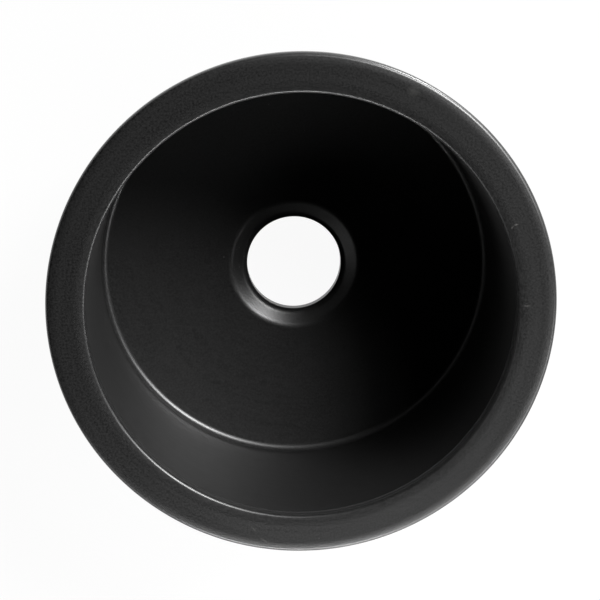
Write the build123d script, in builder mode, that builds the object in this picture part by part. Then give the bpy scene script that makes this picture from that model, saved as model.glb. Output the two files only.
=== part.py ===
from build123d import *
from math import cos, radians, sin, tan
import os

# Round drop-in prep sink. Millimetres and degrees, +Z up, origin at the centre of the base.

# Rim, from the outside inwards: it lands on the worktop, spans the fixings, then meets the wall
RIM_DIAMETER = 430.0
RIM_THICKNESS = 12.0
SEAL_LAND = 8.0
FIXING_BAY = 16.5
RIM_TOP_ROUND = 4.0
RIM_LOWER_ROUND = 1.0
RIM_ROOT_ROUND = 5.0
MOUTH_ROUND = 3.5

# The rim's top is level in the middle and falls gently to both edges
OUTER_FALL = 10.0
OUTER_FALL_WIDTH = 7.2
MOUTH_FALL = 14.0
MOUTH_FALL_WIDTH = 6.4
RIM_FALL_ROUND = 25.0

# Bowl wall and dished floor
SINK_HEIGHT = 210.0
WALL_THICKNESS = 8.7
WALL_DRAFT = 0.3
FLOOR_THICKNESS = 9.0
FLOOR_SLOPE = 5.2
FLOOR_CORNER_ROUND = 7.0

# Drain outlet, the recess round it and the boss under it
OUTLET_DIAMETER = 88.9
OUTLET_DEPTH = 10.0
OUTLET_EDGE_ROUND = 0.6
LEDGE_WIDTH = 3.7
RECESS_SIDE_WIDTH = 11.8
RECESS_DEPTH = 7.4
RECESS_FOOT_ROUND = 9.0
RECESS_LIP_ROUND = 13.0
DRAIN_BOSS_MARGIN = 8.0
DRAIN_BOSS_ROUND = 2.0

# Rubber seal in its groove under the rim
SEAL_WIDTH = 4.8
SEAL_HEIGHT = 3.5
SEAL_SEAT_DEPTH = 1.5
SEAL_EDGE_ROUND = 1.2
SEAL_CLEARANCE = 0.1

# Fixing stations round the rim: lug, threaded insert and stud
STATION_COUNT = 6
STUD_DIAMETER = 6.0
STUD_CHAMFER = 0.8
STUD_TAIL = 2.0
THREAD_CLEARANCE = 0.05
INSERT_WALL = 1.25
INSERT_LENGTH = 11.0
INSERT_END_CLEARANCE = 0.5
INSERT_COVER = 8.5
INSERT_MOUTH_CHAMFER = 0.6
LUG_WALL = 2.25
LUG_ROUND = 1.0

# Claw, washer and nut on the stud, for worktops between the two thicknesses
WORKTOP_MIN = 13.0
WORKTOP_MAX = 38.0
CLAW_WIDTH = 12.0
CLAW_REACH = 27.0
CLAW_THICKNESS = 2.5
CLAW_BEND_RADIUS = 1.5
CLAW_NOSE_HEIGHT = 8.0
CLAW_TUCK = 4.0
CLAW_HOLE_CLEARANCE = 0.3
CLAW_TOOTH_PITCH = 4.0
CLAW_TOOTH_DEPTH = 1.6
CLAW_BEAD_WIDTH = 4.0
CLAW_BEAD_HEIGHT = 0.8
CLAW_BEAD_MARGIN = 4.0
WASHER_RING = 2.8
WASHER_THICKNESS = 1.6
WASHER_CLEARANCE = 0.2
WASHER_EDGE_ROUND = 0.3
NUT_WALL = 2.0
NUT_HEIGHT = 5.0
NUT_CORNER_CHAMFER = 0.6
NUT_CLEARANCE = 0.08

# Radii and levels that follow from those sizes
rim_radius = RIM_DIAMETER / 2
cutout_radius = rim_radius - SEAL_LAND
wall_radius = cutout_radius - FIXING_BAY
mouth_radius = wall_radius - WALL_THICKNESS
rim_under = SINK_HEIGHT - RIM_THICKNESS
outer_edge_top = SINK_HEIGHT - OUTER_FALL_WIDTH * tan(radians(OUTER_FALL))
mouth_top = SINK_HEIGHT - MOUTH_FALL_WIDTH * tan(radians(MOUTH_FALL))

outlet_radius = OUTLET_DIAMETER / 2
ledge_radius = outlet_radius + LEDGE_WIDTH
recess_radius = ledge_radius + RECESS_SIDE_WIDTH
recess_top = OUTLET_DEPTH + RECESS_DEPTH
drain_boss_radius = recess_radius + DRAIN_BOSS_MARGIN
underside_level = recess_top - FLOOR_THICKNESS / cos(radians(FLOOR_SLOPE))

seal_radius = rim_radius - SEAL_LAND / 2
seal_top = rim_under + SEAL_SEAT_DEPTH

stud_radius = STUD_DIAMETER / 2
stud_circle_radius = wall_radius + FIXING_BAY / 2
insert_radius = stud_radius + THREAD_CLEARANCE + INSERT_WALL
insert_hole_end = SINK_HEIGHT - INSERT_COVER
insert_top = insert_hole_end - INSERT_END_CLEARANCE
lug_bottom = insert_top - INSERT_LENGTH
lug_radius = insert_radius + LUG_WALL
lug_root = FIXING_BAY / 2 + WALL_THICKNESS / 2

nose_top = rim_under - WORKTOP_MAX
claw_bottom = nose_top - CLAW_NOSE_HEIGHT - CLAW_THICKNESS
washer_bottom = claw_bottom - WASHER_THICKNESS
washer_radius = stud_radius + WASHER_CLEARANCE + WASHER_RING
nut_bottom = washer_bottom - NUT_HEIGHT
nut_flat_radius = stud_radius + NUT_WALL
nut_corner_radius = nut_flat_radius / cos(radians(30))
stud_bottom = nut_bottom - STUD_TAIL


def floor_rise(radius):
    """Height of the dished floor at a radius, above its level at the recess."""
    return (radius - recess_radius) * tan(radians(FLOOR_SLOPE))


def wall_floor_corner(top_radius, recess_level):
    """Where a drafted wall line meets a sloping floor line, as radius and height."""
    draft = tan(radians(WALL_DRAFT))
    slope = tan(radians(FLOOR_SLOPE))
    drop = SINK_HEIGHT - recess_level + recess_radius * slope
    radius = (top_radius - drop * draft) / (1 - slope * draft)
    return radius, recess_level + floor_rise(radius)


def station_plane(index, level, turn=0.0):
    """Level plane on a stud's axis, with X pointing outwards, or turned from there."""
    angle = radians(360.0 / STATION_COUNT * index)
    heading = angle + radians(turn)
    origin = (stud_circle_radius * cos(angle), stud_circle_radius * sin(angle), level)
    return Plane(origin=origin, x_dir=(cos(heading), sin(heading), 0), z_dir=(0, 0, 1))


def upright_plane(level_plane):
    """Plane that stands on a level one, with the same X and with Y pointing up."""
    return Plane(origin=level_plane.origin, x_dir=level_plane.x_dir, z_dir=-level_plane.y_dir)


def save(builder, name):
    """Label a finished piece and write it to its own file."""
    builder.part.label = name
    export_step(builder.part, f"parts/{name}.step")


def make_bowl():
    """The casting: rim, wall, floor and drain, turned from one section, with the fixing lugs."""
    lower_wall_radius = wall_radius - RIM_THICKNESS * tan(radians(WALL_DRAFT))
    section = [
        ((outlet_radius, 0), 0),
        ((drain_boss_radius, 0), DRAIN_BOSS_ROUND),
        ((drain_boss_radius, underside_level + floor_rise(drain_boss_radius)), DRAIN_BOSS_ROUND),
        (wall_floor_corner(wall_radius, underside_level), FLOOR_CORNER_ROUND + WALL_THICKNESS),
        ((lower_wall_radius, rim_under), RIM_ROOT_ROUND),
        ((rim_radius, rim_under), RIM_LOWER_ROUND),
        ((rim_radius, outer_edge_top), RIM_TOP_ROUND),
        ((rim_radius - OUTER_FALL_WIDTH, SINK_HEIGHT), RIM_FALL_ROUND),
        ((mouth_radius + MOUTH_FALL_WIDTH, SINK_HEIGHT), RIM_FALL_ROUND),
        ((mouth_radius, mouth_top), MOUTH_ROUND),
        (wall_floor_corner(mouth_radius, recess_top), FLOOR_CORNER_ROUND),
        ((recess_radius, recess_top), RECESS_LIP_ROUND),
        ((ledge_radius, OUTLET_DEPTH), RECESS_FOOT_ROUND),
        ((outlet_radius, OUTLET_DEPTH), OUTLET_EDGE_ROUND),
    ]
    corners = [corner for corner, _ in section]
    rounds = [corner_round for _, corner_round in section]
    with BuildPart() as bowl:
        with BuildSketch(Plane.XZ):
            with BuildLine():
                FilletPolyline(*corners, radius=rounds, close=True)
            make_face()
        revolve(axis=Axis.Z)
        # Lugs that carry the inserts, joined to the wall and to the rim's underside
        with BuildSketch(Plane.XY.offset(lug_bottom)):
            with PolarLocations(stud_circle_radius, STATION_COUNT):
                Circle(lug_radius)
                Rectangle(lug_root, 2 * lug_radius, align=(Align.MAX, Align.CENTER))
        extrude(amount=insert_hole_end - lug_bottom)
        lug_faces = bowl.faces().filter_by(Plane.XY).filter_by_position(
            Axis.Z, lug_bottom, lug_bottom
        )
        lug_edges = lug_faces.edges().filter_by_position(
            Axis.Z, lug_bottom, lug_bottom
        )
        free_edges = lug_edges.filter_by(
            lambda edge: Vector(edge.center().X, edge.center().Y).length > wall_radius
        )
        fillet(free_edges, radius=LUG_ROUND)
        # Blind holes for the inserts
        with BuildSketch(Plane.XY.offset(lug_bottom)):
            with PolarLocations(stud_circle_radius, STATION_COUNT):
                Circle(insert_radius)
        extrude(amount=insert_hole_end - lug_bottom, mode=Mode.SUBTRACT)
        # Groove for the seal
        with BuildSketch(Plane.XY.offset(rim_under)):
            Circle(seal_radius + SEAL_WIDTH / 2 + SEAL_CLEARANCE)
            Circle(seal_radius - SEAL_WIDTH / 2 - SEAL_CLEARANCE, mode=Mode.SUBTRACT)
        extrude(amount=SEAL_SEAT_DEPTH, mode=Mode.SUBTRACT)
    save(bowl, "bowl")


def make_rim_seal():
    """Rubber ring that seals the rim to the worktop, with a rounded lower side."""
    with BuildPart() as seal:
        with BuildSketch(Plane.XY.offset(seal_top - SEAL_HEIGHT)):
            Circle(seal_radius + SEAL_WIDTH / 2)
            Circle(seal_radius - SEAL_WIDTH / 2, mode=Mode.SUBTRACT)
        extrude(amount=SEAL_HEIGHT)
        fillet(seal.faces().sort_by(Axis.Z)[0].edges(), radius=SEAL_EDGE_ROUND)
    save(seal, "rim_seal")


def make_insert(index):
    """Threaded sleeve moulded into a lug, its mouth level with the lug's lower face."""
    with BuildPart() as insert:
        with BuildSketch(station_plane(index, lug_bottom)):
            Circle(insert_radius)
            Circle(stud_radius + THREAD_CLEARANCE, mode=Mode.SUBTRACT)
        extrude(amount=INSERT_LENGTH)
        mouth = insert.faces().sort_by(Axis.Z)[0].edges().sort_by(SortBy.RADIUS)[0]
        chamfer(mouth, length=INSERT_MOUTH_CHAMFER)
    save(insert, f"insert_{index + 1}")


def make_stud(index):
    """Stud from the top of the insert down past the nut's lowest place."""
    with BuildPart() as stud:
        with BuildSketch(station_plane(index, stud_bottom)):
            Circle(stud_radius)
        extrude(amount=insert_top - stud_bottom)
        chamfer(stud.edges().filter_by(GeomType.CIRCLE), length=STUD_CHAMFER)
    save(stud, f"stud_{index + 1}")


def make_claw(index):
    """Pressed clip with a round heel, a stiffening bead and a toothed nose bent upwards."""
    base = station_plane(index, claw_bottom, turn=-90 - CLAW_TUCK)
    half_width = CLAW_WIDTH / 2
    claw_height = CLAW_THICKNESS + CLAW_NOSE_HEIGHT
    nose_inside = CLAW_REACH - CLAW_THICKNESS
    bead_start = washer_radius + CLAW_BEAD_MARGIN
    bead_end = nose_inside - CLAW_BEND_RADIUS - CLAW_BEAD_MARGIN
    side = [
        ((-half_width, 0), 0),
        ((CLAW_REACH, 0), CLAW_BEND_RADIUS + CLAW_THICKNESS),
        ((CLAW_REACH, claw_height), 0),
        ((nose_inside, claw_height), 0),
        ((nose_inside, CLAW_THICKNESS), CLAW_BEND_RADIUS),
        ((-half_width, CLAW_THICKNESS), 0),
    ]
    with BuildPart() as claw:
        # Bent strip, seen from its side
        with BuildSketch(upright_plane(base)):
            with BuildLine():
                corners = [corner for corner, _ in side]
                FilletPolyline(*corners, radius=[bend for _, bend in side], close=True)
            make_face()
        extrude(amount=half_width, both=True)
        # Outline from above, with the heel round about the stud
        with BuildSketch(base):
            Circle(half_width)
            Rectangle(CLAW_REACH, CLAW_WIDTH, align=(Align.MIN, Align.CENTER))
        extrude(amount=claw_height, mode=Mode.INTERSECT)
        # Bead pressed up along the arm, hollow below
        with BuildSketch(base.offset(CLAW_THICKNESS)):
            with Locations(((bead_start + bead_end) / 2, 0)):
                SlotOverall(bead_end - bead_start + CLAW_BEAD_WIDTH, CLAW_BEAD_WIDTH)
        extrude(amount=CLAW_BEAD_HEIGHT, taper=30)
        with BuildSketch(base):
            with Locations(((bead_start + bead_end) / 2, 0)):
                SlotOverall(bead_end - bead_start + CLAW_BEAD_WIDTH / 2, CLAW_BEAD_WIDTH / 2)
        extrude(amount=CLAW_BEAD_HEIGHT, mode=Mode.SUBTRACT)
        # Notches that leave the teeth on the nose
        nose = Plane(
            origin=base.from_local_coords((CLAW_REACH, 0, claw_height)),
            x_dir=base.y_dir,
            z_dir=base.x_dir,
        )
        with BuildSketch(nose):
            with GridLocations(CLAW_TOOTH_PITCH, 0, 2, 1):
                notch_half = CLAW_TOOTH_PITCH / 2
                Polygon((-notch_half, 0), (0, -CLAW_TOOTH_DEPTH), (notch_half, 0), align=None)
        extrude(amount=-CLAW_THICKNESS, mode=Mode.SUBTRACT)
        # Hole for the stud
        with BuildSketch(base):
            Circle(stud_radius + CLAW_HOLE_CLEARANCE)
        extrude(amount=CLAW_THICKNESS, mode=Mode.SUBTRACT)
    save(claw, f"claw_{index + 1}")


def make_washer(index):
    """Flat washer between the claw and the nut."""
    with BuildPart() as washer:
        with BuildSketch(station_plane(index, washer_bottom)):
            Circle(washer_radius)
            Circle(stud_radius + WASHER_CLEARANCE, mode=Mode.SUBTRACT)
        extrude(amount=WASHER_THICKNESS)
        rims = washer.edges().filter_by(GeomType.CIRCLE).group_by(SortBy.RADIUS)[-1]
        fillet(rims, radius=WASHER_EDGE_ROUND)
    save(washer, f"washer_{index + 1}")


def make_nut(index):
    """Hexagon nut with its corners taken off by a cone at each end."""
    base = station_plane(index, nut_bottom)
    with BuildPart() as nut:
        with BuildSketch(base):
            RegularPolygon(nut_flat_radius, 6, major_radius=False)
        extrude(amount=NUT_HEIGHT)
        with BuildSketch(upright_plane(base)):
            with BuildLine():
                Polyline(
                    (0, 0),
                    (nut_flat_radius, 0),
                    (nut_corner_radius, NUT_CORNER_CHAMFER),
                    (nut_corner_radius, NUT_HEIGHT - NUT_CORNER_CHAMFER),
                    (nut_flat_radius, NUT_HEIGHT),
                    (0, NUT_HEIGHT),
                    close=True,
                )
            make_face()
        revolve(axis=Axis(base.origin, base.z_dir), mode=Mode.INTERSECT)
        with BuildSketch(base):
            Circle(stud_radius + NUT_CLEARANCE)
        extrude(amount=NUT_HEIGHT, mode=Mode.SUBTRACT)
    save(nut, f"nut_{index + 1}")


os.makedirs("parts", exist_ok=True)
make_bowl()
make_rim_seal()
for station in range(STATION_COUNT):
    make_insert(station)
    make_stud(station)
    make_claw(station)
    make_washer(station)
    make_nut(station)
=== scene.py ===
import math

import bmesh
import bpy
from mathutils import Matrix, Vector


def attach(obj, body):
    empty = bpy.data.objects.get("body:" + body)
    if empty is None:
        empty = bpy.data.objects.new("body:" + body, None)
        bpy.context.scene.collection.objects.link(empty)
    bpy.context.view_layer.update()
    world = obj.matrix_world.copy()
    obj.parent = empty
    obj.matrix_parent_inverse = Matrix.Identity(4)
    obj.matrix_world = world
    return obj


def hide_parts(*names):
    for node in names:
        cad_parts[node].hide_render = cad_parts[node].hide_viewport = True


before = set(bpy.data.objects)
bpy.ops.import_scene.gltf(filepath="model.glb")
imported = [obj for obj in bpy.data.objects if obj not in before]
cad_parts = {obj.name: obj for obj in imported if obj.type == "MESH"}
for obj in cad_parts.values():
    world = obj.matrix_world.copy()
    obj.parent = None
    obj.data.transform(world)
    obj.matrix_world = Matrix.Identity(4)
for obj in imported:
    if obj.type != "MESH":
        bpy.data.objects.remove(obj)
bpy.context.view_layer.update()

MM = 0.001

# Sizes of the casting in millimetres, the same as the solids have
RIM_RADIUS = 215.0
RIM_THICKNESS = 12.0
RIM_TOP_ROUND = 4.0
RIM_LOWER_ROUND = 1.0
RIM_ROOT_ROUND = 5.0
MOUTH_RADIUS = 181.8
MOUTH_ROUND = 3.5
OUTER_FALL = math.tan(math.radians(10))
OUTER_FALL_WIDTH = 7.2
MOUTH_FALL = math.tan(math.radians(14))
MOUTH_FALL_WIDTH = 6.4
RIM_FALL_ROUND = 25.0
SINK_HEIGHT = 210.0
WALL_THICKNESS = 8.7
WALL_DRAFT = math.tan(math.radians(0.3))
FLOOR_THICKNESS = 9.0
FLOOR_ANGLE = math.radians(5.2)
FLOOR_CORNER_ROUND = 7.0
OUTLET_RADIUS = 44.45
OUTLET_DEPTH = 10.0
OUTLET_EDGE_ROUND = 0.6
LEDGE_RADIUS = 48.15
RECESS_RADIUS = 59.95
RECESS_TOP = 17.4
RECESS_FOOT_ROUND = 9.0
RECESS_LIP_ROUND = 13.0
DRAIN_BOSS_RADIUS = 67.95
DRAIN_BOSS_ROUND = 2.0
GROOVE_INNER = 208.5
GROOVE_OUTER = 213.5
GROOVE_DEPTH = 1.5
RIM_UNDER = SINK_HEIGHT - RIM_THICKNESS
WALL_RADIUS = MOUTH_RADIUS + WALL_THICKNESS
UNDERSIDE_LEVEL = RECESS_TOP - FLOOR_THICKNESS / math.cos(FLOOR_ANGLE)

# The mould's parting line, a fine ridge on the inside of the wall
PARTING_LINE_DEPTH = 10.0
PARTING_LINE_WIDTH = 1.8
PARTING_LINE_HEIGHT = 0.3
PARTING_LINE_STEPS = 5
INSIDE_MARGIN = 0.1

# The rubber ring in the groove under the rim, with a valley between its two ribs
SEAL_INNER = 208.6
SEAL_OUTER = 213.4
SEAL_BOTTOM = 196.0
SEAL_TOP = 199.5
SEAL_TOP_ROUND = 0.2
SEAL_LOWER_ROUND = 1.2
SEAL_VALLEY_HALF = 0.5
SEAL_VALLEY_DEPTH = 0.7
SEAL_VALLEY_ROUND = 0.3

# Fixing stations, in millimetres
STATIONS = 6
STUD_CIRCLE = 198.75
STUD_RADIUS = 3.0
STUD_ROOT_RADIUS = 2.46
STUD_BOTTOM = 140.9
STUD_TOP = 201.0
STUD_CHAMFER = 0.8
THREAD_PITCH = 1.0
THREAD_SHARPNESS = 1.6
LUG_BOTTOM = 190.0
LUG_TOP = 199.0
LUG_RADIUS = 6.55
LUG_ROOT = 12.6
LUG_ROUND = 1.0
INSERT_RADIUS = 4.3
INSERT_HOLE_OVERRUN = 2.0
INSERT_HOLE_START = LUG_BOTTOM - INSERT_HOLE_OVERRUN
INSERT_HOLE_END = 201.5
CLAW_EASE = 0.35
NUT_EASE = 0.2

# Fineness of the meshes: steps round a circle or arc, and the loops that hold an edge
BOWL_SEGMENTS = 360
BOWL_ARC_STEP = math.radians(5)
BOWL_SUPPORT = 0.2
BOWL_SHARP_ANGLE = math.radians(32)
SEAL_SEGMENTS = 256
SEAL_ARC_STEP = math.radians(15)
SEAL_SUPPORT = 0.05
LEAST_ARC_STEPS = 3
SHARP_CORNER_SHARE = 0.2
LUG_STEPS = 24
LUG_ROUND_STEPS = 5
HOLE_SEGMENTS = 48
STUD_SEGMENTS = 28
STUD_ROWS_PER_PITCH = 8
STUD_SHARP_ANGLE = math.radians(50)
MERGE_DISTANCE = 1e-6
FLAT_ANGLE = math.radians(2)
EASE_ANGLE = math.radians(28)
EASE_SEGMENTS = 2

# Material slots of the casting; the seal has only the first
FACE_SLOT = 0
BACK_SLOT = 1

# Marks of use on the face, in millimetres: place, heading in degrees, half length, half width and half
# depth, and strength
MARKS = [
    ((178.0, 71.7, 210.0), 10, (2.2, 0.8, 1.5), 0.55),
    ((174.8, 69.5, 210.0), 48, (2.4, 0.7, 1.5), 0.35),
    ((189.0, 2.2, 210.0), 0, (4.2, 0.7, 1.5), 0.40),
    ((90.5, 182.8, 210.0), -20, (7.0, 5.0, 3.0), 0.13),
    ((-32.5, -204.0, 209.5), -36, (7.0, 1.2, 2.0), 0.22),
    ((-42.0, -193.0, 210.0), -48, (4.0, 0.9, 1.5), 0.15),
    ((-66.5, 7.5, 18.0), 0, (0.9, 0.9, 1.5), 0.70),
    ((20.0, -181.0, 28.8), 0, (1.8, 1.2, 1.5), 0.90),
    ((-172.0, -57.0, 80.5), -72, (5.5, 2.0, 0.9), 0.35),
]
PITTED_PATCH = ((-51.0, 6.0, 13.0), 80, (22.0, 7.0, 9.0), 0.9)

# Studio floor and world: metres, and levels at which 1 is white. The glow that reflections see fades
# out between two heights of a direction of length 1.
STAGE_REACH = 8.0
STAGE_LEVEL = -0.0004
STAGE_TONE = 0.85
STAGE_WHITE_SHARE = 0.94
HORIZON_LOW = 0.02
HORIZON_HIGH = 0.22
HORIZON_GLOW = 0.25

# Distant soft lights: name, azimuth, elevation and spread in degrees, and level
FAR_LIGHTS = [
    ("key_upper", 44, 40, 20, 0.76),
    ("key_lower", 44, 33, 20, 0.40),
    ("key_back", 59, 42, 20, 0.22),
]

# Cards of light round the sink, in metres: name, azimuth in degrees, distance, height of the middle, how
# tall, and level. The front ones stay low, so that little of their light reaches the far half of the
# sink's floor. The power is in watts, for level 1 at one metre.
CARD_WIDTH = 0.35
CARD_POWER = 8.0
CARDS = [
    ("card_right", 30, 0.5, 0.45, 0.24, 0.48),
    ("card_side", 330, 0.5, 0.40, 0.15, 0.40),
    ("card_front_right", 300, 0.5, 0.385, 0.10, 0.55),
    ("card_front", 270, 0.5, 0.37, 0.10, 0.88),
    ("card_left", 240, 0.5, 0.36, 0.14, 0.16),
    ("card_edge", 57, 2.0, 0.15, 0.14, 1.10),
]

# The photograph's camera, fitted to the rim, mouth, floor and drain circles: lens and sensor in
# millimetres, places in metres
CAMERA_LENS = 103.01
CAMERA_SENSOR = 36.0
CAMERA_POSITION = Vector((-0.0578, 0.3288, 1.609))
CAMERA_AIM = Vector((-0.0022, 0.0091, 0.210))


def on_circle(radius, angle):
    """The point at an angle on a circle round the origin."""
    return radius * math.cos(angle), radius * math.sin(angle)


def new_object(name, data):
    """A mesh, light or camera as an object of the scene."""
    obj = bpy.data.objects.new(name, data)
    bpy.context.scene.collection.objects.link(obj)
    return obj


def floor_rise(radius):
    """Height of the dished floor above its level at the recess."""
    return (radius - RECESS_RADIUS) * math.tan(FLOOR_ANGLE)


def wall_floor_corner(top_radius, level):
    """Where a drafted wall meets the dished floor."""
    slope = math.tan(FLOOR_ANGLE)
    drop = SINK_HEIGHT - level + RECESS_RADIUS * slope
    radius = (top_radius - drop * WALL_DRAFT) / (1 - slope * WALL_DRAFT)
    return radius, level + floor_rise(radius)


def rounded_loop(corners, arc_step, support):
    """Points of a closed outline whose corners are (point, round, slot), with a loop beside each arc."""
    points = []
    count = len(corners)
    for index, (corner, radius, slot) in enumerate(corners):
        slot_before = corners[index - 1][2]
        here = Vector(corner)
        before = (Vector(corners[index - 1][0]) - here).normalized()
        after = (Vector(corners[(index + 1) % count][0]) - here).normalized()
        if radius == 0:
            points.append((here + before * support * SHARP_CORNER_SHARE, slot_before))
            points.append((here, slot))
            points.append((here + after * support * SHARP_CORNER_SHARE, slot))
            continue
        half = math.acos(max(-1.0, min(1.0, before.dot(after)))) / 2
        reach = radius / math.tan(half)
        centre = here + (before + after).normalized() * radius / math.sin(half)
        start = here + before * reach - centre
        end = here + after * reach - centre
        first = math.atan2(start.y, start.x)
        sweep = math.atan2(end.y, end.x) - first
        sweep = (sweep + math.pi) % (2 * math.pi) - math.pi
        steps = max(LEAST_ARC_STEPS, math.ceil(abs(sweep) / arc_step))
        points.append((here + before * (reach + support), slot_before))
        for step in range(steps + 1):
            angle = first + sweep * step / steps
            arc_slot = slot_before if step < steps / 2 else slot
            points.append((centre + radius * Vector((math.cos(angle), math.sin(angle))), arc_slot))
        points.append((here + after * (reach + support), slot))
    return points


def bowl_section():
    """The casting's outline from the drain's lower edge outwards, over the rim and back down inside."""
    lower_wall = WALL_RADIUS - RIM_THICKNESS * WALL_DRAFT
    boss_top = UNDERSIDE_LEVEL + floor_rise(DRAIN_BOSS_RADIUS)
    outer_foot = wall_floor_corner(WALL_RADIUS, UNDERSIDE_LEVEL)
    inner_foot = wall_floor_corner(MOUTH_RADIUS, RECESS_TOP)
    groove_top = RIM_UNDER + GROOVE_DEPTH
    outer_top = SINK_HEIGHT - OUTER_FALL_WIDTH * OUTER_FALL
    mouth_top = SINK_HEIGHT - MOUTH_FALL_WIDTH * MOUTH_FALL
    corners = [
        ((OUTLET_RADIUS, 0), 0, BACK_SLOT),
        ((DRAIN_BOSS_RADIUS, 0), DRAIN_BOSS_ROUND, BACK_SLOT),
        ((DRAIN_BOSS_RADIUS, boss_top), DRAIN_BOSS_ROUND, BACK_SLOT),
        (outer_foot, FLOOR_CORNER_ROUND + WALL_THICKNESS, BACK_SLOT),
        ((lower_wall, RIM_UNDER), RIM_ROOT_ROUND, BACK_SLOT),
        ((GROOVE_INNER, RIM_UNDER), 0, BACK_SLOT),
        ((GROOVE_INNER, groove_top), 0, BACK_SLOT),
        ((GROOVE_OUTER, groove_top), 0, BACK_SLOT),
        ((GROOVE_OUTER, RIM_UNDER), 0, FACE_SLOT),
        ((RIM_RADIUS, RIM_UNDER), RIM_LOWER_ROUND, FACE_SLOT),
        ((RIM_RADIUS, outer_top), RIM_TOP_ROUND, FACE_SLOT),
        ((RIM_RADIUS - OUTER_FALL_WIDTH, SINK_HEIGHT), RIM_FALL_ROUND, FACE_SLOT),
        ((MOUTH_RADIUS + MOUTH_FALL_WIDTH, SINK_HEIGHT), RIM_FALL_ROUND, FACE_SLOT),
        ((MOUTH_RADIUS, mouth_top), MOUTH_ROUND, FACE_SLOT),
        (inner_foot, FLOOR_CORNER_ROUND, FACE_SLOT),
        ((RECESS_RADIUS, RECESS_TOP), RECESS_LIP_ROUND, FACE_SLOT),
        ((LEDGE_RADIUS, OUTLET_DEPTH), RECESS_FOOT_ROUND, FACE_SLOT),
        ((OUTLET_RADIUS, OUTLET_DEPTH), OUTLET_EDGE_ROUND, FACE_SLOT),
    ]
    return rounded_loop(corners, BOWL_ARC_STEP, BOWL_SUPPORT)


def with_parting_line(points):
    """Adds the fine ridge that the mould leaves on the inside of the wall."""
    centre = SINK_HEIGHT - PARTING_LINE_DEPTH
    inside_radius = MOUTH_RADIUS + INSIDE_MARGIN
    out = []
    for index, (point, slot) in enumerate(points):
        out.append((point, slot))
        following = points[(index + 1) % len(points)][0]
        inside = point.x < inside_radius and following.x < inside_radius
        if inside and point.y > centre > following.y:
            for step in range(-PARTING_LINE_STEPS, PARTING_LINE_STEPS + 1):
                share = step / PARTING_LINE_STEPS
                height = centre - share * PARTING_LINE_WIDTH
                wall = MOUTH_RADIUS - (SINK_HEIGHT - height) * WALL_DRAFT
                proud = PARTING_LINE_HEIGHT * math.cos(share * math.pi / 2) ** 2
                out.append((Vector((wall - proud, height)), slot))
    return out


def lathe(name, points, segments):
    """Turns a closed outline of (radius, height) points round the vertical axis."""
    count = len(points)
    verts = []
    faces = []
    slots = []
    for segment in range(segments):
        angle = 2 * math.pi * segment / segments
        for point, _ in points:
            verts.append((*on_circle(point.x * MM, angle), point.y * MM))
    for segment in range(segments):
        here = segment * count
        there = (segment + 1) % segments * count
        for index in range(count):
            following = (index + 1) % count
            faces.append((here + index, there + index, there + following, here + following))
            slots.append(points[index][1])
    mesh = bpy.data.meshes.new(name)
    mesh.from_pydata(verts, [], faces)
    mesh.polygons.foreach_set("material_index", slots)
    mesh.update()
    return new_object(name, mesh)


def lug_outline(inset):
    """Outline of a lug seen from above: half round outside, straight sides to inside the wall."""
    radius = LUG_RADIUS - inset
    points = [(-LUG_ROOT, -radius)]
    for step in range(LUG_STEPS + 1):
        points.append(on_circle(radius, -math.pi / 2 + math.pi * step / LUG_STEPS))
    points.append((-LUG_ROOT, radius))
    return points


def ring_solid(bm, rings, place):
    """A closed solid through outlines with equal counts, each given as (outline, height)."""
    made = []
    for outline, height in rings:
        made.append([bm.verts.new(place @ Vector((x * MM, y * MM, height * MM))) for x, y in outline])
    faces = []
    for lower, upper in zip(made, made[1:]):
        for index in range(len(lower)):
            following = (index + 1) % len(lower)
            faces.append(bm.faces.new((lower[index], lower[following], upper[following], upper[index])))
    faces.append(bm.faces.new(list(reversed(made[0]))))
    faces.append(bm.faces.new(made[-1]))
    for face in faces:
        face.material_index = BACK_SLOT


def station_matrix(index):
    """Frame of a fixing station: origin on the stud's axis at the base level, X outwards."""
    angle = 2 * math.pi * index / STATIONS
    return Matrix.Rotation(angle, 4, "Z") @ Matrix.Translation((STUD_CIRCLE * MM, 0, 0))


def lug_rings():
    """Outlines of a lug and their heights, rounded at its lower edge."""
    rings = []
    for step in range(LUG_ROUND_STEPS + 1):
        angle = math.pi / 2 * step / LUG_ROUND_STEPS
        inset = LUG_ROUND * (1 - math.sin(angle))
        height = LUG_BOTTOM + LUG_ROUND * (1 - math.cos(angle))
        rings.append((lug_outline(inset), height))
    rings.append((lug_outline(0), LUG_TOP))
    return rings


def hole_rings():
    """Outlines of an insert's hole and their heights."""
    turns = [2 * math.pi * step / HOLE_SEGMENTS for step in range(HOLE_SEGMENTS)]
    circle = [on_circle(INSERT_RADIUS, angle) for angle in turns]
    return [(circle, INSERT_HOLE_START), (circle, INSERT_HOLE_END)]


def at_stations(name, rings):
    """One object with the same ring solid at every fixing station."""
    bm = bmesh.new()
    for index in range(STATIONS):
        ring_solid(bm, rings, station_matrix(index))
    bmesh.ops.recalc_face_normals(bm, faces=bm.faces)
    mesh = bpy.data.meshes.new(name)
    bm.to_mesh(mesh)
    bm.free()
    return new_object(name, mesh)


def apply_modifiers(obj):
    """Replaces an object's mesh by what its modifiers make of it."""
    graph = bpy.context.evaluated_depsgraph_get()
    mesh = bpy.data.meshes.new_from_object(obj.evaluated_get(graph))
    old = obj.data
    obj.modifiers.clear()
    obj.data = mesh
    bpy.data.meshes.remove(old)


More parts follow.
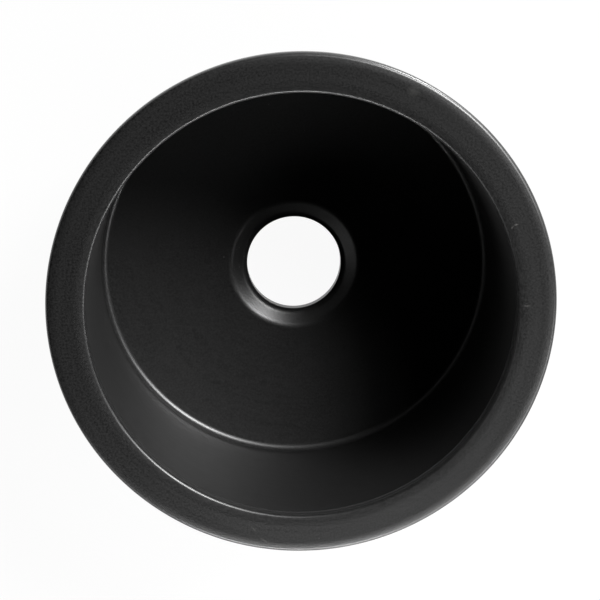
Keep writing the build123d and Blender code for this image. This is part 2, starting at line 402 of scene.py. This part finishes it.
def make_bowl():
    """The casting: turned section, lugs joined on and insert holes cut."""
    bowl = lathe("sink_bowl", with_parting_line(bowl_section()), BOWL_SEGMENTS)
    lugs = at_stations("lugs", lug_rings())
    holes = at_stations("insert_holes", hole_rings())
    for cutter, operation in ((lugs, "UNION"), (holes, "DIFFERENCE")):
        modifier = bowl.modifiers.new(cutter.name, "BOOLEAN")
        modifier.object = cutter
        modifier.operation = operation
        modifier.solver = "EXACT"
        apply_modifiers(bowl)
        mesh = cutter.data
        bpy.data.objects.remove(cutter)
        bpy.data.meshes.remove(mesh)
    bowl.data.shade_smooth()
    bowl.data.set_sharp_from_angle(angle=BOWL_SHARP_ANGLE)
    return bowl


def make_seal():
    """The rubber ring in its groove, with a rounded lower side and two sealing ribs."""
    middle = (SEAL_INNER + SEAL_OUTER) / 2
    outline = [
        ((SEAL_INNER, SEAL_TOP), SEAL_TOP_ROUND),
        ((SEAL_INNER, SEAL_BOTTOM), SEAL_LOWER_ROUND),
        ((middle - SEAL_VALLEY_HALF, SEAL_BOTTOM), SEAL_VALLEY_ROUND),
        ((middle, SEAL_BOTTOM + SEAL_VALLEY_DEPTH), SEAL_VALLEY_ROUND),
        ((middle + SEAL_VALLEY_HALF, SEAL_BOTTOM), SEAL_VALLEY_ROUND),
        ((SEAL_OUTER, SEAL_BOTTOM), SEAL_LOWER_ROUND),
        ((SEAL_OUTER, SEAL_TOP), SEAL_TOP_ROUND),
    ]
    corners = [(point, radius, FACE_SLOT) for point, radius in outline]
    seal = lathe("rim_gasket", rounded_loop(corners, SEAL_ARC_STEP, SEAL_SUPPORT), SEAL_SEGMENTS)
    seal.data.shade_smooth()
    return seal


def thread_radius(height, angle):
    """Radius of the threaded stud at a height and angle, chamfered at its ends."""
    from_end = min(height - STUD_BOTTOM, STUD_TOP - height)
    limit = STUD_RADIUS - max(0.0, STUD_CHAMFER - from_end)
    wave = math.cos(2 * math.pi * height / THREAD_PITCH - angle)
    flank = 0.5 + 0.5 * math.tanh(THREAD_SHARPNESS * wave) / math.tanh(THREAD_SHARPNESS)
    return min(STUD_ROOT_RADIUS + (STUD_RADIUS - STUD_ROOT_RADIUS) * flank, limit)


def thread_mesh():
    """The threaded stud, standing on the vertical axis."""
    rows = round((STUD_TOP - STUD_BOTTOM) / THREAD_PITCH * STUD_ROWS_PER_PITCH)
    verts = []
    for row in range(rows + 1):
        height = STUD_BOTTOM + (STUD_TOP - STUD_BOTTOM) * row / rows
        for segment in range(STUD_SEGMENTS):
            angle = 2 * math.pi * segment / STUD_SEGMENTS
            verts.append((*on_circle(thread_radius(height, angle) * MM, angle), height * MM))
    faces = []
    for row in range(rows):
        lower = row * STUD_SEGMENTS
        upper = lower + STUD_SEGMENTS
        for segment in range(STUD_SEGMENTS):
            following = (segment + 1) % STUD_SEGMENTS
            faces.append((lower + segment, lower + following, upper + following, upper + segment))
    faces.append(tuple(reversed(range(STUD_SEGMENTS))))
    faces.append(tuple(range(rows * STUD_SEGMENTS, (rows + 1) * STUD_SEGMENTS)))
    mesh = bpy.data.meshes.new("threaded_rod")
    mesh.from_pydata(verts, [], faces)
    mesh.shade_smooth()
    mesh.set_sharp_from_angle(angle=STUD_SHARP_ANGLE)
    return mesh


def softened_copy(node, name, width):
    """A CAD node's shape with its edges eased, as pressing or forging leaves them."""
    bm = bmesh.new()
    bm.from_mesh(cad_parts[node].data)
    bmesh.ops.remove_doubles(bm, verts=bm.verts, dist=MERGE_DISTANCE)
    bmesh.ops.dissolve_limit(
        bm, angle_limit=FLAT_ANGLE, verts=bm.verts, edges=bm.edges, use_dissolve_boundaries=False
    )
    mesh = bpy.data.meshes.new(name)
    bm.to_mesh(mesh)
    bm.free()
    mesh.materials.clear()
    obj = new_object(name, mesh)
    bevel = obj.modifiers.new("ease", "BEVEL")
    bevel.width = width * MM
    bevel.segments = EASE_SEGMENTS
    bevel.limit_method = "ANGLE"
    bevel.angle_limit = EASE_ANGLE
    bevel.use_clamp_overlap = True
    bevel.harden_normals = True
    apply_modifiers(obj)
    return obj


class Nodes:
    """Short calls to build the nodes of a material or of the world."""

    # Where a Mix node has its two colours and its blend
    MIX_COLOURS = (6, 7)
    MIX_RESULT = 2

    def __init__(self, owner):
        owner.use_nodes = True
        self.tree = owner.node_tree

    def add(self, kind):
        """A new node of the tree."""
        return self.tree.nodes.new("ShaderNode" + kind)

    def put(self, socket, value):
        """Links a socket to another one, or sets its value."""
        if isinstance(value, bpy.types.NodeSocket):
            self.tree.links.new(value, socket)
        else:
            socket.default_value = value

    def calc(self, operation, first, second=None):
        """The result of a sum on one or two values."""
        node = self.add("Math")
        node.operation = operation
        self.put(node.inputs[0], first)
        if second is not None:
            self.put(node.inputs[1], second)
        return node.outputs[0]

    def remap(self, value, source, target, interpolation="LINEAR"):
        """Carries one range of values over to another."""
        node = self.add("MapRange")
        node.interpolation_type = interpolation
        self.put(node.inputs["Value"], value)
        for socket, number in zip(("From Min", "From Max", "To Min", "To Max"), (*source, *target)):
            self.put(node.inputs[socket], number)
        return node.outputs["Result"]

    def mix(self, factor, first, second):
        """Blends two colours, each a socket or a red, green and blue."""
        node = self.add("Mix")
        node.data_type = "RGBA"
        self.put(node.inputs[0], factor)
        for index, colour in zip(self.MIX_COLOURS, (first, second)):
            is_socket = isinstance(colour, bpy.types.NodeSocket)
            self.put(node.inputs[index], colour if is_socket else (*colour, 1.0))
        return node.outputs[self.MIX_RESULT]


class Finish(Nodes):
    """The nodes of a surface: a Principled shader and patterns in the object's own coordinates."""

    def __init__(self, name):
        self.material = bpy.data.materials.new(name)
        super().__init__(self.material)
        self.shader = self.tree.nodes["Principled BSDF"]
        self.place = self.add("TexCoord").outputs["Object"]

    def give(self, socket, value):
        """Links or sets one of the shader's inputs."""
        self.put(self.shader.inputs[socket], value)

    def noise(self, scale, detail, roughness=0.5, vector=None):
        """Cloudy values from 0 to 1."""
        node = self.add("TexNoise")
        self.put(node.inputs["Vector"], self.place if vector is None else vector)
        self.put(node.inputs["Scale"], scale)
        self.put(node.inputs["Detail"], detail)
        self.put(node.inputs["Roughness"], roughness)
        return node.outputs["Fac"]

    def specks(self, scale, size, share):
        """Small round flecks: 1 inside a fleck, 0 elsewhere."""
        node = self.add("TexVoronoi")
        self.put(node.inputs["Vector"], self.place)
        self.put(node.inputs["Scale"], scale)
        tint = self.add("SeparateColor")
        self.put(tint.inputs[0], node.outputs["Color"])
        chosen = self.calc("LESS_THAN", tint.outputs[0], share)
        radius = self.calc("MULTIPLY", tint.outputs[1], size)
        inside = self.calc("LESS_THAN", node.outputs["Distance"], radius)
        return self.calc("MULTIPLY", chosen, inside)

    def mark(self, place, heading, sizes, strength):
        """A soft spot or scratch: strongest at its place, gone at its half length, width and depth."""
        node = self.add("Mapping")
        node.vector_type = "TEXTURE"
        self.put(node.inputs["Vector"], self.place)
        self.put(node.inputs["Location"], Vector(place) * MM)
        self.put(node.inputs["Rotation"], (0.0, 0.0, math.radians(heading)))
        self.put(node.inputs["Scale"], Vector(sizes) * MM)
        gradient = self.add("TexGradient")
        gradient.gradient_type = "SPHERICAL"
        self.put(gradient.inputs["Vector"], node.outputs[0])
        return self.calc("MULTIPLY", gradient.outputs["Fac"], strength)

    def turned(self, along_radius, along_height, round_axis):
        """Coordinates round the vertical axis, scaled apart so that noise draws out into rings."""
        parts = self.add("SeparateXYZ")
        self.put(parts.inputs[0], self.place)
        x, y, z = parts.outputs
        squares = self.calc("ADD", self.calc("MULTIPLY", x, x), self.calc("MULTIPLY", y, y))
        joined = self.add("CombineXYZ")
        self.put(joined.inputs[0], self.calc("MULTIPLY", self.calc("SQRT", squares), along_radius))
        self.put(joined.inputs[1], self.calc("MULTIPLY", self.calc("ARCTAN2", y, x), round_axis))
        self.put(joined.inputs[2], self.calc("MULTIPLY", z, along_height))
        return joined.outputs[0]

    def stretched(self, scales):
        """The object's coordinates, scaled on each axis."""
        node = self.add("Mapping")
        self.put(node.inputs["Scale"], scales)
        self.put(node.inputs["Vector"], self.place)
        return node.outputs[0]

    def bump(self, height, strength, distance):
        """The normal of a surface with fine relief."""
        node = self.add("Bump")
        self.put(node.inputs["Strength"], strength)
        self.put(node.inputs["Distance"], distance)
        self.put(node.inputs["Height"], height)
        return node.outputs["Normal"]


def grey(level):
    """A grey as red, green and blue."""
    return level, level, level


def composite_face():
    """Satin black composite: fine grain, faint finishing rings, rare pale flecks and marks of use."""
    grain_dark, grain_light = grey(0.0025), grey(0.0185)
    ring_tone, cloud_tone = grey(0.0145), grey(0.0105)
    fleck_tone, worn_tone = (0.14, 0.14, 0.135), (0.17, 0.168, 0.16)
    n = Finish("composite_satin")
    grain = n.noise(scale=600.0, detail=3.0)
    cloud = n.noise(scale=55.0, detail=4.0)
    rings_at = n.turned(along_radius=420.0, along_height=260.0, round_axis=2.6)
    rings = n.noise(scale=1.0, detail=4.0, roughness=0.6, vector=rings_at)
    tone = n.mix(n.remap(grain, (0.35, 0.65), (0.0, 1.0)), grain_dark, grain_light)
    tone = n.mix(n.remap(rings, (0.35, 0.7), (0.0, 0.5)), tone, ring_tone)
    tone = n.mix(n.remap(cloud, (0.3, 0.7), (0.0, 0.3)), tone, cloud_tone)
    tone = n.mix(n.specks(scale=210.0, size=0.085, share=0.010), tone, fleck_tone)
    worn = n.calc("MULTIPLY", n.specks(scale=420.0, size=0.40, share=0.25), n.mark(*PITTED_PATCH))
    for mark in MARKS:
        worn = n.calc("MAXIMUM", worn, n.mark(*mark))
    n.give("Base Color", n.mix(worn, tone, worn_tone))
    ring_roughness = n.remap(rings, (0.25, 0.75), (0.34, 0.38))
    grain_roughness = n.remap(grain, (0.3, 0.7), (-0.012, 0.012))
    n.give("Roughness", n.calc("ADD", ring_roughness, grain_roughness))
    n.give("Specular IOR Level", 0.8)
    return n.material


def composite_back():
    """The back of the casting, duller and coarser than the face."""
    grain_dark, grain_light = (0.010, 0.010, 0.0105), (0.021, 0.021, 0.0215)
    cloud_tone, fleck_tone = (0.030, 0.0295, 0.029), (0.12, 0.118, 0.112)
    n = Finish("composite_cast_back")
    grain = n.noise(scale=900.0, detail=3.0)
    cloud = n.noise(scale=30.0, detail=5.0)
    tone = n.mix(n.remap(grain, (0.3, 0.7), (0.0, 1.0)), grain_dark, grain_light)
    tone = n.mix(n.remap(cloud, (0.45, 0.75), (0.0, 0.5)), tone, cloud_tone)
    tone = n.mix(n.specks(scale=260.0, size=0.16, share=0.02), tone, fleck_tone)
    n.give("Base Color", tone)
    n.give("Roughness", n.remap(cloud, (0.3, 0.7), (0.50, 0.64)))
    n.give("Normal", n.bump(grain, strength=0.30, distance=0.0003))
    return n.material


def rubber():
    """Dull black rubber with a faint bloom."""
    plain_tone, bloom_tone = (0.020, 0.020, 0.021), (0.042, 0.042, 0.043)
    n = Finish("seal_rubber_black")
    cloud = n.noise(scale=120.0, detail=4.0)
    grain = n.noise(scale=1800.0, detail=2.0)
    n.give("Base Color", n.mix(n.remap(cloud, (0.3, 0.75), (0.0, 1.0)), plain_tone, bloom_tone))
    n.give("Roughness", n.remap(cloud, (0.3, 0.7), (0.60, 0.78)))
    n.give("Normal", n.bump(grain, strength=0.15, distance=0.0001))
    return n.material


def metal(name, light, dark, roughness, streaks):
    """Plated or turned metal with clouded colour, uneven polish and fine marks."""
    n = Finish(name)
    cloud = n.noise(scale=260.0, detail=4.0)
    marks = n.noise(scale=1.0, detail=3.0, vector=n.stretched(streaks))
    n.give("Base Color", n.mix(n.remap(cloud, (0.3, 0.72), (0.0, 1.0)), light, dark))
    n.give("Roughness", n.remap(marks, (0.3, 0.7), roughness))
    n.give("Normal", n.bump(marks, strength=0.08, distance=0.0001))
    n.give("Metallic", 1.0)
    return n.material


def insert_brass():
    """Turned brass, with finer marks along its height."""
    return metal("insert_brass", (0.74, 0.53, 0.23), (0.58, 0.39, 0.15), (0.30, 0.48), (1500, 1500, 2600))


def zinc_plate():
    """Bright zinc on steel."""
    return metal("zinc_plate", (0.66, 0.67, 0.68), (0.50, 0.51, 0.53), (0.28, 0.46), (900, 900, 900))


def floor_material():
    """White to the camera and to reflections, pale to light, with a share left for the shadow."""
    material = bpy.data.materials.new("pale_floor")
    n = Nodes(material)
    n.tree.nodes.clear()
    rays = n.add("LightPath").outputs
    seen = n.calc("MAXIMUM", rays["Is Camera Ray"], rays["Is Glossy Ray"])
    seen = n.calc("MAXIMUM", seen, rays["Is Transmission Ray"])
    diffuse = n.add("BsdfDiffuse")
    n.put(diffuse.inputs["Color"], (*grey(STAGE_TONE), 1.0))
    white = n.add("Emission")
    n.put(white.inputs["Color"], (*grey(1.0), 1.0))
    n.put(white.inputs["Strength"], 1.0)
    blend = n.add("MixShader")
    n.put(blend.inputs[0], n.calc("MULTIPLY", seen, STAGE_WHITE_SHARE))
    n.put(blend.inputs[1], diffuse.outputs[0])
    n.put(blend.inputs[2], white.outputs[0])
    n.put(n.add("OutputMaterial").inputs["Surface"], blend.outputs[0])
    return material


def make_floor():
    """A wide floor just under the sink."""
    quarters = ((-1, -1), (1, -1), (1, 1), (-1, 1))
    mesh = bpy.data.meshes.new("floor")
    corners = [(x * STAGE_REACH, y * STAGE_REACH, STAGE_LEVEL) for x, y in quarters]
    mesh.from_pydata(corners, [], [(0, 1, 2, 3)])
    mesh.materials.append(floor_material())
    return new_object("floor", mesh)


def make_world():
    """White behind the object, and in reflections a glow near the horizon that is gone overhead."""
    world = bpy.data.worlds.new("studio")
    bpy.context.scene.world = world
    n = Nodes(world)
    n.tree.nodes.clear()
    rays = n.add("LightPath").outputs
    split = n.add("SeparateXYZ")
    n.put(split.inputs[0], n.add("TexCoord").outputs["Generated"])
    heights, glow = (HORIZON_LOW, HORIZON_HIGH), (HORIZON_GLOW, 0.0)
    horizon = n.remap(split.outputs["Z"], heights, glow, "SMOOTHSTEP")
    mirrored = n.calc("MULTIPLY", rays["Is Glossy Ray"], horizon)
    direct = n.calc("MAXIMUM", rays["Is Camera Ray"], rays["Is Transmission Ray"])
    background = n.add("Background")
    n.put(background.inputs["Color"], (*grey(1.0), 1.0))
    n.put(background.inputs["Strength"], n.calc("MAXIMUM", direct, mirrored))
    n.put(n.add("OutputWorld").inputs["Surface"], background.outputs[0])


def turn_lamp(lamp, towards):
    """Turns a lamp so that its light comes from a direction."""
    lamp.rotation_mode = "QUATERNION"
    lamp.rotation_quaternion = towards.to_track_quat("Z", "Y")


def far_light(name, azimuth, elevation, spread, level):
    """A distant soft light; level 1 lights a surface square to it to its own colour."""
    data = bpy.data.lights.new(name, "SUN")
    data.angle = math.radians(spread)
    data.energy = math.pi * level
    above = math.radians(elevation)
    across = on_circle(math.cos(above), math.radians(azimuth))
    turn_lamp(new_object(name, data), Vector((*across, math.sin(above))))


def card(name, azimuth, distance, height, tall, level):
    """A soft card of light, turned to the middle of the rim and hidden from the camera."""
    data = bpy.data.lights.new(name, "AREA")
    data.shape = "RECTANGLE"
    data.size = CARD_WIDTH
    data.size_y = tall
    data.energy = CARD_POWER * level * distance**2
    lamp = new_object(name, data)
    lamp.location = (*on_circle(distance, math.radians(azimuth)), height)
    lamp.visible_camera = False
    turn_lamp(lamp, (lamp.location - Vector((0, 0, SINK_HEIGHT * MM))).normalized())


def make_camera():
    """The photograph's camera, its picture upright along Y."""
    data = bpy.data.cameras.new("photo_camera")
    data.sensor_width = CAMERA_SENSOR
    data.lens = CAMERA_LENS
    camera = new_object("photo_camera", data)
    bpy.context.scene.camera = camera
    forward = (CAMERA_AIM - CAMERA_POSITION).normalized()
    right = forward.cross(Vector((0, 1, 0))).normalized()
    up = right.cross(forward)
    turn = Matrix((right, up, -forward)).transposed().to_4x4()
    camera.matrix_world = Matrix.Translation(CAMERA_POSITION) @ turn


# Pieces
face = composite_face()
back = composite_back()
black_rubber = rubber()
brass = insert_brass()
zinc = zinc_plate()

bowl = make_bowl()
bowl.data.materials.clear()
bowl.data.materials.append(face)
bowl.data.materials.append(back)
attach(bowl, "sink")
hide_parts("bowl")

seal = make_seal()
seal.data.materials.append(black_rubber)
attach(seal, "sink")
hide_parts("rim_seal")

rod = thread_mesh()
rod.materials.append(zinc)
for number in range(1, STATIONS + 1):
    stud = new_object(f"threaded_stud_{number}", rod)
    stud.matrix_world = station_matrix(number - 1)
    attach(stud, "sink")
    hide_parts(f"stud_{number}")

    for node, piece, body, width in (
        ("claw", "pressed_claw", "claw", CLAW_EASE),
        ("nut", "hex_nut", "nut", NUT_EASE),
    ):
        eased = softened_copy(f"{node}_{number}", f"{piece}_{number}", width)
        eased.data.materials.append(zinc)
        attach(eased, f"{body}_{number}")
        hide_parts(f"{node}_{number}")

    # Inserts and washers keep their CAD shapes
    for node, material in (("insert", brass), ("washer", zinc)):
        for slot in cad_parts[f"{node}_{number}"].material_slots:
            slot.material = material

# Studio
floor = make_floor()
make_world()
for name, azimuth, elevation, spread, level in FAR_LIGHTS:
    far_light(name, azimuth, elevation, spread, level)
for name, azimuth, distance, height, tall, level in CARDS:
    card(name, azimuth, distance, height, tall, level)
make_camera()
bpy.context.scene.view_settings.view_transform = "Standard"
